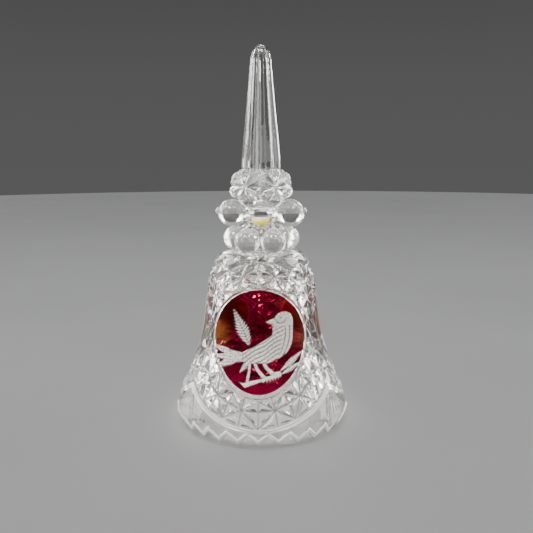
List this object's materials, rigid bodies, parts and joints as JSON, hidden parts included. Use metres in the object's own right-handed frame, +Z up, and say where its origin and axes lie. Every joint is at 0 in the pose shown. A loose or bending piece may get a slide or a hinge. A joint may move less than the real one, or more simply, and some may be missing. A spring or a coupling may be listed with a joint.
{
  "type": "glass bell",
  "caption": "Pressed crystal table bell with star-cut flared skirt, sawtooth rim, ruby bird medallions, beaded collar, spire handle and a crystal clapper on a chain.",
  "frame": {"origin": "on the table, on the bell's axis, under the centre of the mouth", "axes": "+Z up along the handle; -Y towards the front medallion; +X to its right"},
  "size_m": [0.0812, 0.0812, 0.171],
  "materials": {
    "crystal": "clear polished",
    "ruby": "stained and polished",
    "clapper_crystal": "clear faceted",
    "cement": "satin",
    "bright_wire": "bright plated"
  },
  "bodies": {
    "bell": {"bell_shell": "crystal", "handle": "crystal", "ruby_panel_front": "ruby", "ruby_panel_right": "ruby", "ruby_panel_left": "ruby", "clapper_plug": "cement", "hanger_eye": "bright_wire"},
    "link_1": {"chain_link_1": "bright_wire"},
    "link_2": {"chain_link_2": "bright_wire"},
    "link_3": {"chain_link_3": "bright_wire"},
    "link_4": {"chain_link_4": "bright_wire"},
    "link_5": {"chain_link_5": "bright_wire"},
    "link_6": {"chain_link_6": "bright_wire"},
    "clapper": {"clapper_pin": "bright_wire", "clapper_bead": "clapper_crystal", "clapper_cap": "bright_wire"}
  },
  "joints": [
    {"name": "link_1_swing", "type": "hinge", "parent": "bell", "child": "link_1", "pos_m": [0, 0, 0.083], "axis": [1, 0, 0], "range_deg": [-6, 6]},
    {"name": "link_2_swing", "type": "hinge", "parent": "link_1", "child": "link_2", "pos_m": [0, 0, 0.07545], "axis": [0, 1, 0], "range_deg": [-6, 6]},
    {"name": "link_3_swing", "type": "hinge", "parent": "link_2", "child": "link_3", "pos_m": [0, 0, 0.0679], "axis": [1, 0, 0], "range_deg": [-5, 5]},
    {"name": "link_4_swing", "type": "hinge", "parent": "link_3", "child": "link_4", "pos_m": [0, 0, 0.06035], "axis": [0, 1, 0], "range_deg": [-5, 5]},
    {"name": "link_5_swing", "type": "hinge", "parent": "link_4", "child": "link_5", "pos_m": [0, 0, 0.0528], "axis": [1, 0, 0], "range_deg": [-5, 5]},
    {"name": "link_6_swing", "type": "hinge", "parent": "link_5", "child": "link_6", "pos_m": [0, 0, 0.04525], "axis": [0, 1, 0], "range_deg": [-5, 5]},
    {"name": "clapper_swing", "type": "hinge", "parent": "link_6", "child": "clapper", "pos_m": [0, 0, 0.0377], "axis": [1, 0, 0], "range_deg": [-7, 7]}
  ]
}
